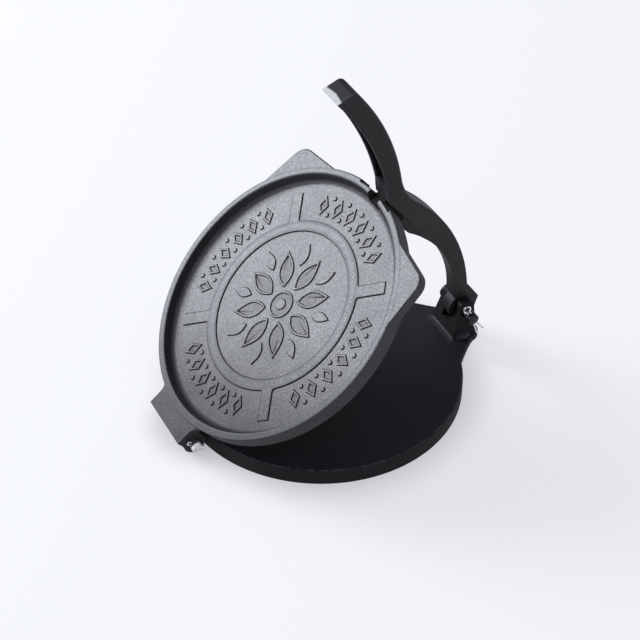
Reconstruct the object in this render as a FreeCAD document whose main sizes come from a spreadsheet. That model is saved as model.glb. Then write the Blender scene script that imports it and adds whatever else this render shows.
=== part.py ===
import FreeCAD, Part
import Sketcher
import math
import os

V = FreeCAD.Vector

# Driving sizes in millimetres and degrees. X runs from the hinge to the lever, Z is up,
# and the origin is the centre of the base disc on the table.
SIZES = {
    # Base casting
    "base_radius": 101.5,
    "base_height": 12.25,
    "base_plate": 5.5,
    "base_skirt": 6.0,
    "base_edge_round": 1.4,
    "base_hub_radius": 13.0,
    "base_rib_width": 4.0,
    "base_rib_lift": 1.5,
    # Tongue and fork that carry the lever
    "tongue_half_width": 17.5,
    "tongue_reach": 23.0,
    "tongue_corner": 10.0,
    "tongue_root_round": 12.0,
    "fork_width": 31.0,
    "fork_foot_inset": 1.2,
    "fork_foot_depth": 19.2,
    "fork_height": 27.35,
    "fork_top_width": 24.0,
    "fork_top_depth": 10.3,
    "fork_lean_share": 0.4,
    "fork_foot_round": 1.5,
    "fork_top_round": 3.0,
    "pivot_out": 11.0,
    "pivot_height": 32.0,
    "stop_gap": 0.25,
    # Hinge
    "hinge_out": 7.85,
    "hinge_height": 8.3,
    "knuckle_radius": 7.8,
    "hinge_width": 47.2,
    "cheek_width": 11.6,
    "cheek_gap": 0.4,
    "hinge_overhang": 6.3,
    "hinge_cap": 3.0,
    "hinge_cap_drop": 4.2,
    "hinge_root_round": 9.0,
    "lid_open_angle": 39.75,
    # Pins and split pins
    "pin_radius": 4.0,
    "pin_fit": 0.05,
    "pin_head_radius": 6.2,
    "pin_head_height": 2.6,
    "pin_dome_height": 1.0,
    "head_gap": 0.2,
    "lever_pin_stand_out": 9.7,
    "lever_pin_hole_share": 0.61,
    "hinge_pin_stand_out": 5.2,
    "hinge_pin_hole_share": 0.45,
    "wire_fit": 0.1,
    "wire_split": 0.3,
    "lever_wire_radius": 0.75,
    "lever_eye_radius": 2.6,
    "lever_split_reach": 10.2,
    "lever_split_length": 16.5,
    "lever_split_turn_angle": 62.9,
    "lever_split_spread_angle": 9.0,
    "hinge_wire_radius": 0.5,
    "hinge_eye_radius": 1.3,
    "hinge_split_reach": 6.0,
    "hinge_split_length": 7.0,
    "hinge_split_turn_angle": 40.0,
    "hinge_split_spread_angle": 24.0,
    "wire_bend_share": 4.0,
    # Lid casting
    "lid_inset": 0.3,
    "lid_height": 11.0,
    "lid_gap": 0.7,
    "crest_width": 5.1,
    "crest_round": 1.2,
    "recess_depth": 7.45,
    "recess_slope": 3.4,
    "recess_round": 4.4,
    "relief_height": 0.75,
    "relief_round": 0.35,
    "relief_turn_angle": 46.7,
    "ring_inner_radius": 55.2,
    "ring_outer_radius": 63.05,
    "spoke_width": 8.8,
    "spoke_reach": 22.0,
    "spoke_corner": 2.6,
    "ear_thickness": 6.6,
    "ear_side_inset": 11.7,
    "ear_front_inset": 11.2,
    "ear_slant_share": 0.13,
    "ear_corner": 11.0,
    "ear_root": 46.0,
    "front_angle": 23.0,
    "front_setback": 1.5,
    "front_slope_width": 0.9,
    "front_slope_height": 2.4,
    "notch_width": 13.4,
    "rim_swing_gap": 0.8,
    "notch_depth": 8.6,
    # Lever
    "lever_thickness": 10.0,
    "lever_gap": 0.5,
    "lever_rise": 218.9,
    "lever_boss_radius": 10.4,
    "heel_reach": 11.55,
    "heel_tilt_angle": 17.7,
    "heel_length": 9.0,
    "arm_back_low_angle": 4.7,
    "arm_front_low_angle": -2.2,
    "arm_front_high_angle": 60.2,
    "grip_low_angle": 7.5,
    "shoulder_back_angle": 22.0,
    "shoulder_front_angle": 33.5,
    "grip_high_angle": 42.0,
    "channel_low_angle": 8.6,
    "channel_high_angle": 37.8,
    "tip_slant_angle": 1.8,
    "grip_width": 19.6,
    "grip_depth": 14.0,
    "grip_foot_depth": 11.3,
    "grip_wall": 3.4,
    "grip_web": 4.4,
    "grip_tip_proud": 0.7,
    "grip_edge_round": 2.4,
    "tip_round": 5.0,
    "overrun": 5.0,
}

# Shares of the lever's rise, from the pivot: the centre of each bend of the lever's outline
# across and up, and the bend's radius.
ARM_BACK_SHARES = (-0.5870, 0.0420, 0.6044)
ARM_FRONT_SHARES = (-0.3933, 0.0713, 0.3577)
GRIP_SHARES = (-1.0027, 0.4947, 0.7551)
# Radius of the hollow between arm and grip, and corner points, as shares of the rise.
CROOK_SHARE = 0.1972
NOSE_TOP_SHARES = ((-0.3015, 0.5317), (-0.2925, 0.5235))
NOSE_SHARES = ((-0.2750, 0.4673), (-0.2435, 0.4121))
# Heights at which the arm starts to widen, is halfway and has the full width of the grip.
SHOULDER_SHARES = (0.3000, 0.4600, 0.5600)

doc = FreeCAD.newDocument("tortilla_press")
sheet = doc.addObject("Spreadsheet::Sheet", "sizes")
for row, (alias, value) in enumerate(SIZES.items(), start=1):
    sheet.set("A%d" % row, alias)
    sheet.set("B%d" % row, str(value))
    sheet.setAlias("B%d" % row, alias)
doc.recompute()


class Size:
    """A length with its number and the sheet expression that gives it."""

    def __init__(self, value, text):
        self.value = float(value)
        self.text = text

    def _join(self, other, sign, value):
        return Size(value, "(%s %s %s)" % (self.text, sign, size_of(other).text))

    def __add__(self, other):
        return self._join(other, "+", self.value + size_of(other).value)

    def __radd__(self, other):
        return size_of(other) + self

    def __sub__(self, other):
        return self._join(other, "-", self.value - size_of(other).value)

    def __rsub__(self, other):
        return size_of(other) - self

    def __mul__(self, other):
        return self._join(other, "*", self.value * size_of(other).value)

    def __rmul__(self, other):
        return size_of(other) * self

    def __truediv__(self, other):
        return self._join(other, "/", self.value / size_of(other).value)

    def __neg__(self):
        return Size(-self.value, "(0 - %s)" % self.text)

    def __float__(self):
        return self.value


def size_of(value):
    if isinstance(value, Size):
        return value
    return Size(value, repr(float(value)))


def root(value):
    return Size(math.sqrt(value.value), "sqrt(%s)" % value.text)


def leg(hypotenuse, side):
    """The other side of a right triangle."""
    return root(hypotenuse * hypotenuse - side * side)


class Sheet:
    def __getattr__(self, alias):
        return Size(sheet.get(alias), "sizes.%s" % alias)


S = Sheet()


def bind(obj, prop, value):
    setattr(obj, prop, value.value)
    obj.setExpression(prop, value.text)


def body(name):
    made = doc.addObject("PartDesign::Body", name)
    made.Label = name
    return made


def plane(owner, role):
    return [f for f in owner.Origin.OriginFeatures if f.Role == role][0]


def sketch(owner, name, role, lift=None):
    """An empty sketch on one of the body's own planes, lifted along its normal."""
    made = owner.newObject("Sketcher::SketchObject", name)
    made.AttachmentSupport = [(plane(owner, role), "")]
    made.MapMode = "FlatFace"
    if lift is not None:
        made.AttachmentOffset = FreeCAD.Placement(V(0, 0, lift.value), FreeCAD.Rotation())
        made.setExpression(".AttachmentOffset.Base.z", lift.text)
    return made


def pin_point(made, geo, pos, point):
    """Holds one point of a sketch at its bound coordinates."""
    for kind, value in zip(("DistanceX", "DistanceY"), point):
        value = size_of(value)
        index = made.addConstraint(Sketcher.Constraint(kind, -1, 1, geo, pos, value.value))
        made.setExpression("Constraints[%d]" % index, value.text)


def outline(made, path):
    """Draws a closed outline. Each entry is a corner, or a pair of an arc's middle and its end."""
    corners = [step if len(step) == 2 and not isinstance(step[0], tuple) else step[1] for step in path]
    middles = [step[0] if isinstance(step[0], tuple) else None for step in path]
    first = len(made.Geometry)
    for i, end in enumerate(corners):
        start = corners[i - 1]
        a = V(float(start[0]), float(start[1]), 0)
        b = V(float(end[0]), float(end[1]), 0)
        if middles[i] is None:
            made.addGeometry(Part.LineSegment(a, b), False)
        else:
            mid = V(float(middles[i][0]), float(middles[i][1]), 0)
            made.addGeometry(Part.Arc(a, mid, b), False)
    count = len(corners)
    ends = []
    for i in range(count):
        want = V(float(corners[i][0]), float(corners[i][1]), 0)
        at_start, at_end = [made.getPoint(first + i, pos).distanceToPoint(want) for pos in (1, 2)]
        tail = at_end <= at_start
        ends.append((2, 1) if tail else (1, 2))
    for i in range(count):
        following = (i + 1) % count
        made.addConstraint(
            Sketcher.Constraint("Coincident", first + i, ends[i][0], first + following, ends[following][1])
        )
        pin_point(made, first + i, ends[i][0], corners[i])
    for i, mid in enumerate(middles):
        if mid is not None:
            spot = made.addGeometry(Part.Point(V(float(mid[0]), float(mid[1]), 0)), True)
            made.addConstraint(Sketcher.Constraint("PointOnObject", spot, 1, first + i))
            pin_point(made, spot, 1, mid)
    return made


def open_path(made, ends, middles):
    """Draws an open run of lines and arcs through fixed points."""
    for i, mid in enumerate(middles):
        a, b = [V(float(p[0]), float(p[1]), 0) for p in ends[i : i + 2]]
        if mid is None:
            index = made.addGeometry(Part.LineSegment(a, b), False)
        else:
            index = made.addGeometry(Part.Arc(a, V(float(mid[0]), float(mid[1]), 0), b), False)
        ordered = made.getPoint(index, 1).distanceToPoint(a) <= made.getPoint(index, 1).distanceToPoint(b)
        start, end = (1, 2) if ordered else (2, 1)
        if i:
            made.addConstraint(Sketcher.Constraint("Coincident", index, start, *previous))
        else:
            pin_point(made, index, start, ends[i])
        pin_point(made, index, end, ends[i + 1])
        if mid is not None:
            spot = made.addGeometry(Part.Point(V(float(mid[0]), float(mid[1]), 0)), True)
            made.addConstraint(Sketcher.Constraint("PointOnObject", spot, 1, index))
            pin_point(made, spot, 1, mid)
        previous = (index, end)
    return made


def circle(made, centre, radius):
    spot = V(float(centre[0]), float(centre[1]), 0)
    index = made.addGeometry(Part.Circle(spot, V(0, 0, 1), radius.value), False)
    pin_point(made, index, 3, centre)
    bound = made.addConstraint(Sketcher.Constraint("Radius", index, radius.value))
    made.setExpression("Constraints[%d]" % bound, radius.text)
    return made


def settled(made):
    """Recomputes and stops at a feature that failed."""
    doc.recompute()
    if "Invalid" in made.State or "Error" in made.State:
        raise ValueError(made.Name + ": " + made.getStatusString())
    return made


def feature(owner, kind, name, profile, **settings):
    made = owner.newObject("PartDesign::" + kind, name)
    made.Profile = profile
    for prop, value in settings.items():
        if isinstance(value, Size):
            bind(made, prop, value)
        else:
            setattr(made, prop, value)
    profile.Visibility = False
    return settled(made)


def turned(owner, kind, name, profile, axis, sector=None):
    """A full turn of a profile, or a sector to both sides of it."""
    before = owner.Tip.Shape.Volume if kind == "Groove" else None
    made = owner.newObject("PartDesign::" + kind, name)
    made.Profile = profile
    made.ReferenceAxis = (profile, [axis])
    if sector is not None:
        made.Midplane = True
        bind(made, "Angle", sector)
    profile.Visibility = False
    settled(made)
    if before is not None and made.Shape.Volume >= before:
        raise ValueError(name + " cuts nothing")
    return made


def rounded(owner, name, radius, chosen, kind="Fillet"):
    """Rounds the edges of the newest feature for which chosen(edge) is true."""
    tip = owner.Tip
    edges = ["Edge%d" % (i + 1) for i, e in enumerate(tip.Shape.Edges) if chosen(e)]
    if not edges:
        raise ValueError("no edges for " + name)
    made = owner.newObject("PartDesign::" + kind, name)
    made.Base = (tip, edges)
    bind(made, "Radius" if kind == "Fillet" else "Size", radius)
    return settled(made)


def cosine(angle):
    return Size(math.cos(math.radians(angle.value)), "cos(%s)" % angle.text)


def sine(angle):
    return Size(math.sin(math.radians(angle.value)), "sin(%s)" % angle.text)


def pad(owner, name, profile, length, both=False, up=True):
    made = feature(owner, "Pad", name, profile, Length=length)
    made.SideType = "Symmetric" if both else "One side"
    made.Reversed = not up
    doc.recompute()
    return made


def pocket(owner, name, profile, length, both=False, up=False):
    """Cuts a profile away and checks that material went."""
    before = owner.Tip.Shape.Volume
    made = feature(owner, "Pocket", name, profile, Length=length)
    made.SideType = "Symmetric" if both else "One side"
    made.Reversed = up
    doc.recompute()
    if made.Shape.Volume >= before:
        raise ValueError(name + " cuts nothing")
    return made


def copied(owner, kind, name, originals, **settings):
    """A pattern or mirror of features, as the body's newest feature."""
    made = owner.newObject("PartDesign::" + kind, name)
    made.Originals = originals
    for prop, value in settings.items():
        setattr(made, prop, value)
    owner.Tip = made
    doc.recompute()
    return made


def box_outline(made, left, right, low, high):
    return outline(made, [(left, low), (right, low), (right, high), (left, high)])


def corner_arc(centre, radius, first, last):
    """The middle of the arc round a centre between two unit directions a right angle or less apart."""
    x = first[0] + last[0]
    y = first[1] + last[1]
    length = root(x * x + y * y)
    return (centre[0] + radius * x / length, centre[1] + radius * y / length)


def blend_to_disc(half_width, blend, radius):
    """A concave corner between a side at half_width and a disc: on the disc, middle, on the side."""
    across = half_width + blend
    span = radius + blend
    along = leg(span, across)
    on_disc = (along * radius / span, across * radius / span)
    middle = corner_arc((along, across), blend, (-along / span, -across / span), (size_of(0), size_of(-1)))
    return on_disc, middle, (along, half_width)


def mirrored(point, x_sign=1, y_sign=1):
    x, y = point
    return (x if x_sign > 0 else -x, y if y_sign > 0 else -y)


def top_edges(height):
    """Edges that lie at one height."""

    def chosen(edge):
        box = edge.BoundBox
        return abs(box.ZMin - height) < edge_slack and abs(box.ZMax - height) < edge_slack

    return chosen


zero = size_of(0)
edge_slack = 1e-4

# Base casting: a shallow dish upside down, a tongue with a fork for the lever, and the hinge lug.
base_top = S.base_height
base_under = S.base_height - S.base_plate
lid_radius = S.base_radius - S.lid_inset
hinge_x = -(S.base_radius + S.hinge_out)
pivot_x = S.base_radius + S.pivot_out
half_lug = S.cheek_width
fork_inner = S.base_radius - S.fork_foot_inset
fork_outer = fork_inner + S.fork_foot_depth
fork_top = base_top + S.fork_height
fork_top_inner = fork_inner + S.fork_foot_depth * S.fork_lean_share
slot_floor = S.pivot_height - S.heel_reach - S.stop_gap
pin_hole = S.pin_radius + S.pin_fit

base = body("base_plate")
on_disc, bend, on_side = blend_to_disc(S.tongue_half_width, S.tongue_root_round, S.base_radius)
tongue_end = S.base_radius + S.tongue_reach
corner_x = tongue_end - S.tongue_corner
corner_y = S.tongue_half_width - S.tongue_corner
corner_mid = corner_arc((corner_x, corner_y), S.tongue_corner, (size_of(1), zero), (zero, size_of(1)))
plate = sketch(base, "plate_outline", "XY_Plane", base_under)
outline(
    plate,
    [
        (mirrored(bend, 1, -1), mirrored(on_side, 1, -1)),
        (corner_x, -S.tongue_half_width),
        (mirrored(corner_mid, 1, -1), (tongue_end, -corner_y)),
        (tongue_end, corner_y),
        (corner_mid, (corner_x, S.tongue_half_width)),
        on_side,
        (bend, on_disc),
        ((zero, S.base_radius), (-S.base_radius, zero)),
        ((zero, -S.base_radius), mirrored(on_disc, 1, -1)),
    ],
)
pad(base, "plate", plate, S.base_plate)
rounded(base, "plate_edge", S.base_edge_round, top_edges(base_top.value))

skirt = sketch(base, "skirt_section", "XZ_Plane")
box_outline(skirt, S.base_radius - S.base_skirt, S.base_radius, zero, base_under)
turned(base, "Revolution", "skirt", skirt, "V_Axis")
hub = sketch(base, "hub_outline", "XY_Plane")
circle(hub, (zero, zero), S.base_hub_radius)
pad(base, "hub", hub, base_under)

rib = sketch(base, "rib_outline", "XY_Plane", S.base_rib_lift)
box_outline(
    rib,
    S.base_hub_radius / 2,
    S.base_radius - S.base_skirt / 2,
    -S.base_rib_width / 2,
    S.base_rib_width / 2,
)
rib_pad = pad(base, "rib", rib, base_under - S.base_rib_lift)
copied(
    base,
    "PolarPattern",
    "ribs",
    [rib_pad],
    Axis=(rib, ["N_Axis"]),
    Angle=360,
    Occurrences=4,
)

bridge = sketch(base, "hinge_bridge_outline", "XZ_Plane")
box_outline(bridge, hinge_x, S.base_skirt / 2 - S.base_radius, S.hinge_height - S.knuckle_radius, base_top)
pad(base, "hinge_bridge", bridge, half_lug * 2, both=True)
lug = sketch(base, "hinge_lug_outline", "XZ_Plane")
circle(lug, (hinge_x, S.hinge_height), S.knuckle_radius)
pad(base, "hinge_lug", lug, half_lug * 2, both=True)

fork = sketch(base, "fork_outline", "XZ_Plane")
outline(
    fork,
    [
        (fork_inner, base_under),
        (fork_outer, base_under),
        (fork_outer, base_top),
        (fork_top_inner + S.fork_top_depth, fork_top),
        (fork_top_inner, fork_top),
        (fork_inner, base_top),
    ],
)
pad(base, "fork", fork, S.fork_width, both=True)
taper = sketch(base, "fork_taper_outline", "YZ_Plane")
half_fork = S.fork_width / 2
half_fork_top = S.fork_top_width / 2
outline(
    taper,
    [
        (half_fork, base_top),
        (half_fork + S.overrun, base_top),
        (half_fork + S.overrun, fork_top + S.overrun),
        (half_fork_top, fork_top + S.overrun),
        (half_fork_top, fork_top),
    ],
)
taper_cut = pocket(base, "fork_taper", taper, tongue_end * 2, both=True)
copied(base, "Mirrored", "fork_tapers", [taper_cut], MirrorPlane=(plane(base, "XZ_Plane"), [""]))
rounded(base, "fork_crown", S.fork_top_round, top_edges(fork_top.value))

foot_lines = top_edges(base_top.value)


def fork_foot(edge):
    """The line across the width where the fork's sloping front stands on the plate."""
    box = edge.BoundBox
    return foot_lines(edge) and abs(box.XMin - fork_inner.value) < edge_slack and box.XLength < edge_slack


rounded(base, "fork_foot", S.fork_foot_round, fork_foot)

slot = sketch(base, "fork_slot_outline", "XZ_Plane")
box_outline(slot, fork_inner - S.overrun, tongue_end + S.overrun, slot_floor, fork_top + S.overrun)
pocket(base, "fork_slot", slot, S.lever_thickness + S.lever_gap * 2, both=True)
pivot_hole = sketch(base, "pivot_hole_outline", "XZ_Plane")
circle(pivot_hole, (pivot_x, S.pivot_height), pin_hole)
pocket(base, "pivot_hole", pivot_hole, S.fork_width + S.overrun, both=True)
hinge_hole = sketch(base, "hinge_hole_outline", "XZ_Plane")
circle(hinge_hole, (hinge_x, S.hinge_height), pin_hole)
pocket(base, "hinge_hole", hinge_hole, half_lug * 2 + S.overrun, both=True)

# Lid casting, drawn closed: a round plate with a raised crest, two ears and two hinge cheeks.
lid_under = base_top + S.lid_gap
crest = lid_under + S.lid_height
crest_inner = lid_radius - S.crest_width
floor_radius = crest_inner - S.recess_slope
floor = crest - S.recess_depth
cap_top = crest - S.hinge_cap_drop
cap_back = hinge_x - S.hinge_overhang
half_hinge = S.hinge_width / 2
cheek_in = S.cheek_width + S.cheek_gap

lid = body("top_plate")
blank = sketch(lid, "lid_section", "XZ_Plane")
box_outline(blank, zero, lid_radius, lid_under, crest)
turned(lid, "Revolution", "lid_disc", blank, "V_Axis")

# Each ear's two sides lean in by the slant share, and meet in a rounded corner.
slant = S.ear_slant_share
ear_side = lid_radius - S.ear_side_inset
ear_front = lid_radius - S.ear_front_inset
corner_along = (ear_front + S.ear_root * slant - (ear_side + S.ear_root * slant) * slant) / (
    size_of(1) - slant * slant
)
corner_across = ear_side - (corner_along - S.ear_root) * slant
ear = sketch(lid, "ear_outline", "XY_Plane", crest - S.ear_thickness)
outline(
    ear,
    [
        (S.ear_root, S.ear_root),
        (ear_front, S.ear_root),
        (corner_along, corner_across),
        (S.ear_root, ear_side),
    ],
)
pad(lid, "ear", ear, S.ear_thickness)


def ear_corner(edge):
    """The upright edge at the ear's outer corner."""
    box = edge.BoundBox
    upright = box.XMax - box.XMin < edge_slack and box.YMax - box.YMin < edge_slack
    return upright and abs(box.XMin - corner_along.value) < edge_slack


ear_round = rounded(lid, "ear_corner", S.ear_corner, ear_corner)
copied(lid, "Mirrored", "ears", [lid.getObject("ear"), ear_round], MirrorPlane=(plane(lid, "XZ_Plane"), [""]))

root_on_disc, root_bend, root_on_side = blend_to_disc(half_hinge, S.hinge_root_round, lid_radius)
cap = sketch(lid, "hinge_cap_outline", "XY_Plane", cap_top - S.hinge_cap)
outline(
    cap,
    [
        mirrored(root_on_disc, -1, 1),
        (mirrored(root_bend, -1, 1), mirrored(root_on_side, -1, 1)),
        (cap_back, half_hinge),
        (cap_back, -half_hinge),
        mirrored(root_on_side, -1, -1),
        (mirrored(root_bend, -1, -1), mirrored(root_on_disc, -1, -1)),
    ],
)
pad(lid, "hinge_cap", cap, S.hinge_cap)

web = sketch(lid, "cheek_web_outline", "XZ_Plane", cheek_in)
outline(
    web,
    [
        (cap_back, S.hinge_height),
        (hinge_x + S.knuckle_radius, S.hinge_height),
        (hinge_x + S.knuckle_radius, lid_under),
        (-crest_inner, lid_under),
        (-crest_inner, cap_top),
        (cap_back, cap_top),
    ],
)
web_pad = pad(lid, "cheek_web", web, half_hinge - cheek_in)
knuckle = sketch(lid, "knuckle_outline", "XZ_Plane", cheek_in)
circle(knuckle, (hinge_x, S.hinge_height), S.knuckle_radius)
knuckle_pad = pad(lid, "knuckle", knuckle, half_hinge - cheek_in)
copied(lid, "Mirrored", "cheeks", [web_pad, knuckle_pad], MirrorPlane=(plane(lid, "XZ_Plane"), [""]))
bore = sketch(lid, "hinge_bore_outline", "XZ_Plane")
circle(bore, (hinge_x, S.hinge_height), pin_hole)
pocket(lid, "hinge_bore", bore, S.hinge_width + S.overrun, both=True)

rounded(lid, "outer_edge", S.crest_round, top_edges(crest.value))
recess = sketch(lid, "recess_section", "XZ_Plane")
above = crest + S.overrun
outline(
    recess,
    [
        (zero, floor),
        (floor_radius, floor),
        (crest_inner, crest),
        (crest_inner, above),
        (zero, above),
    ],
)
turned(lid, "Groove", "recess", recess, "V_Axis")


def ring_at(radius, height):
    """Full circles of one radius at one height."""

    def chosen(edge):
        box = edge.BoundBox
        flat = abs(box.ZMin - height.value) < edge_slack and abs(box.ZMax - height.value) < edge_slack
        return flat and abs(box.XMax - radius.value) < edge_slack

    return chosen


rounded(lid, "crest_edge", S.crest_round, ring_at(crest_inner, crest))
rounded(lid, "floor_edge", S.recess_round, ring_at(floor_radius, floor))

ring = sketch(lid, "ring_outline", "XY_Plane", floor)
circle(ring, (zero, zero), S.ring_outer_radius)
circle(ring, (zero, zero), S.ring_inner_radius)
pad(lid, "ring", ring, S.relief_height)
half_spoke = S.spoke_width / 2
spoke_on_ring, spoke_bend, spoke_on_side = blend_to_disc(half_spoke, S.spoke_corner, S.ring_outer_radius)
spoke_end = S.ring_outer_radius + S.spoke_reach
spoke = sketch(lid, "spoke_outline", "XY_Plane", floor)
spoke.AttachmentOffset = FreeCAD.Placement(
    spoke.AttachmentOffset.Base, FreeCAD.Rotation(V(0, 0, 1), S.relief_turn_angle.value)
)
outline(
    spoke,
    [
        (spoke_bend, spoke_on_side),
        (spoke_end, half_spoke),
        (spoke_end, -half_spoke),
        mirrored(spoke_on_side, 1, -1),
        (mirrored(spoke_bend, 1, -1), mirrored(spoke_on_ring, 1, -1)),
        spoke_on_ring,
    ],
)
spoke_pad = pad(lid, "spoke", spoke, S.relief_height)
copied(
    lid,
    "PolarPattern",
    "spokes",
    [spoke_pad],
    Axis=(plane(lid, "Z_Axis"), [""]),
    Angle=360,
    Occurrences=4,
)

rounded(lid, "relief_edge", S.relief_round, top_edges((floor + S.relief_height).value))

# The front of the rim is set back, so that it clears the fork, and its upper edge slopes.
front = sketch(lid, "front_section", "XZ_Plane")
front_face = lid_radius - S.front_setback
front_beyond = lid_radius + S.overrun
outline(
    front,
    [
        (front_face - S.front_slope_width, crest),
        (front_face, crest - S.front_slope_height),
        (front_face, lid_under - S.overrun),
        (front_beyond, lid_under - S.overrun),
        (front_beyond, above),
        (front_face - S.front_slope_width, above),
    ],
)
turned(lid, "Groove", "front", front, "V_Axis", S.front_angle)
notch = sketch(lid, "notch_outline", "XY_Plane", lid_under - S.overrun)
box_outline(
    notch,
    lid_radius - S.notch_depth,
    lid_radius + S.overrun,
    -S.notch_width / 2,
    S.notch_width / 2,
)
pocket(lid, "notch", notch, S.lid_height + S.overrun * 2, up=True)

# Lever casting, drawn from its pivot: a thin arm with a blunt nose and a channel-shaped grip.
def on_bend(shares, angle, inset=None):
    """A point of a bend at an angle, moved towards the bend's centre by an inset."""
    across, up, bend = shares
    reach = S.lever_rise * bend
    if inset is not None:
        reach = reach - inset
    return (S.lever_rise * across + reach * cosine(angle), S.lever_rise * up + reach * sine(angle))


def at_share(shares):
    return (S.lever_rise * shares[0], S.lever_rise * shares[1])


def bend_arc(shares, first, last, inset=None):
    return (on_bend(shares, (first + last) / 2, inset), on_bend(shares, last, inset))


def whole(shares):
    """A bend's centre and radius."""
    return tuple(S.lever_rise * share for share in shares)


def towards(start, end, length):
    return ((end[0] - start[0]) / length, (end[1] - start[1]) / length)


def hollow_between(first, second, radius):
    """A hollow bend that touches two round bends: its centre, and its directions to both."""
    span = (second[0] - first[0], second[1] - first[1])
    apart = root(span[0] * span[0] + span[1] * span[1])
    near, far = first[2] + radius, second[2] + radius
    along = (near * near - far * far + apart * apart) / (apart * 2)
    across = leg(near, along)
    middle = (
        first[0] + (span[0] * along + span[1] * across) / apart,
        first[1] + (span[1] * along - span[0] * across) / apart,
    )
    return middle, towards(middle, first, near), towards(middle, second, far)


def turned_to(angle):
    return (cosine(angle), sine(angle))


lever = body("press_lever")
heel_low = (S.heel_reach * cosine(S.heel_tilt_angle), -S.heel_reach * sine(S.heel_tilt_angle))
heel_high = (
    heel_low[0] + S.heel_length * sine(S.heel_tilt_angle),
    heel_low[1] + S.heel_length * cosine(S.heel_tilt_angle),
)
grip_middle = (S.grip_low_angle + S.grip_high_angle) / 2
tip_back_angle = S.grip_high_angle - S.tip_slant_angle
grip_front_low = on_bend(GRIP_SHARES, S.grip_low_angle, S.grip_foot_depth)
arm_back, grip_back = whole(ARM_BACK_SHARES), whole(GRIP_SHARES)
crook_radius = S.lever_rise * CROOK_SHARE
crook, to_arm, to_grip = hollow_between(arm_back, grip_back, crook_radius)
from_arm, from_grip = mirrored(to_arm, -1, -1), mirrored(to_grip, -1, -1)
arm_end = (crook[0] + crook_radius * to_arm[0], crook[1] + crook_radius * to_arm[1])
grip_start = (crook[0] + crook_radius * to_grip[0], crook[1] + crook_radius * to_grip[1])


def lever_side(name, first, back_angle, front_angle):
    """The lever's side from a first run of corners up round the grip and down to a front angle."""
    made = sketch(lever, name, "XZ_Plane")
    outline(
        made,
        first
        + [
            on_bend(ARM_BACK_SHARES, back_angle),
            (corner_arc(arm_back, arm_back[2], turned_to(back_angle), from_arm), arm_end),
            (corner_arc(crook, crook_radius, to_arm, to_grip), grip_start),
            (
                corner_arc(grip_back, grip_back[2], from_grip, turned_to(tip_back_angle)),
                on_bend(GRIP_SHARES, tip_back_angle),
            ),
            on_bend(GRIP_SHARES, S.grip_high_angle, S.grip_depth),
            (on_bend(GRIP_SHARES, grip_middle, S.grip_depth), grip_front_low),
            at_share(NOSE_TOP_SHARES[0]),
            at_share(NOSE_TOP_SHARES[1]),
            (at_share(NOSE_SHARES[0]), at_share(NOSE_SHARES[1])),
            on_bend(ARM_FRONT_SHARES, S.arm_front_high_angle),
            bend_arc(ARM_FRONT_SHARES, S.arm_front_high_angle, front_angle),
        ],
    )
    return made


arm = lever_side("side_outline", [(zero, zero), heel_low, heel_high], S.arm_back_low_angle, S.arm_front_low_angle)
pad(lever, "arm", arm, S.lever_thickness, both=True)
grip = lever_side("grip_outline", [], S.shoulder_back_angle, S.shoulder_front_angle)
pad(lever, "grip", grip, S.grip_width, both=True)
half_grip = S.grip_width / 2
half_arm = S.lever_thickness / 2


def back_edge(edge):
    """The long edges of the grip's back, at both sides."""
    spot = edge.valueAt((edge.FirstParameter + edge.LastParameter) / 2)
    if abs(abs(spot.y) - half_grip.value) > edge_slack:
        return False
    bends = (arm_back, grip_back, (crook[0], crook[1], crook_radius))
    return any(abs(math.hypot(spot.x - x.value, spot.z - z.value) - r.value) < edge_slack for x, z, r in bends)


rounded(lever, "back_edges", S.grip_edge_round, back_edge)

# The lever narrows from the grip to the arm in a long bend on each side.
narrow, halfway, full = [S.lever_rise * share for share in SHOULDER_SHARES]
low_end = -S.lever_boss_radius - S.overrun
quarter = (half_grip - half_arm) / 2
shoulder = sketch(lever, "shoulder_outline", "YZ_Plane")
outline(
    shoulder,
    [
        (half_arm, low_end),
        (half_grip + S.overrun, low_end),
        (half_grip + S.overrun, full),
        (half_grip, full),
        ((half_arm + quarter, halfway), (half_arm, narrow)),
    ],
)
shoulder_cut = pocket(lever, "shoulder", shoulder, S.lever_rise * 2, both=True)
copied(lever, "Mirrored", "shoulders", [shoulder_cut], MirrorPlane=(plane(lever, "XZ_Plane"), [""]))

# The lid's rim swings past the lever: only a narrow web of it reaches into the rim's path.
rim_reach = lid_radius - S.front_setback - hinge_x
rim_rise = crest - S.hinge_height
rim_path = sketch(lever, "rim_path_outline", "XZ_Plane", half_arm)
circle(
    rim_path,
    (hinge_x - pivot_x, S.hinge_height - S.pivot_height),
    root(rim_reach * rim_reach + rim_rise * rim_rise) + S.rim_swing_gap,
)
path_cut = pocket(lever, "rim_path", rim_path, half_grip, up=True)
copied(lever, "Mirrored", "rim_paths", [path_cut], MirrorPlane=(plane(lever, "XZ_Plane"), [""]))
boss = sketch(lever, "boss_outline", "XZ_Plane")
circle(boss, (zero, zero), S.lever_boss_radius)
pad(lever, "boss", boss, S.lever_thickness, both=True)

channel_middle = (S.channel_low_angle + S.channel_high_angle) / 2
channel = sketch(lever, "channel_outline", "XZ_Plane")
outline(
    channel,
    [
        on_bend(GRIP_SHARES, S.channel_low_angle, S.grip_web),
        bend_arc(GRIP_SHARES, S.channel_low_angle, S.channel_high_angle, S.grip_web),
        on_bend(GRIP_SHARES, S.channel_high_angle, S.grip_depth + S.overrun),
        (
            on_bend(GRIP_SHARES, channel_middle, S.grip_depth + S.overrun),
            on_bend(GRIP_SHARES, S.channel_low_angle, S.grip_depth + S.overrun),
        ),
    ],
)
pocket(lever, "channel", channel, S.grip_width - S.grip_wall * 2, both=True)

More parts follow.
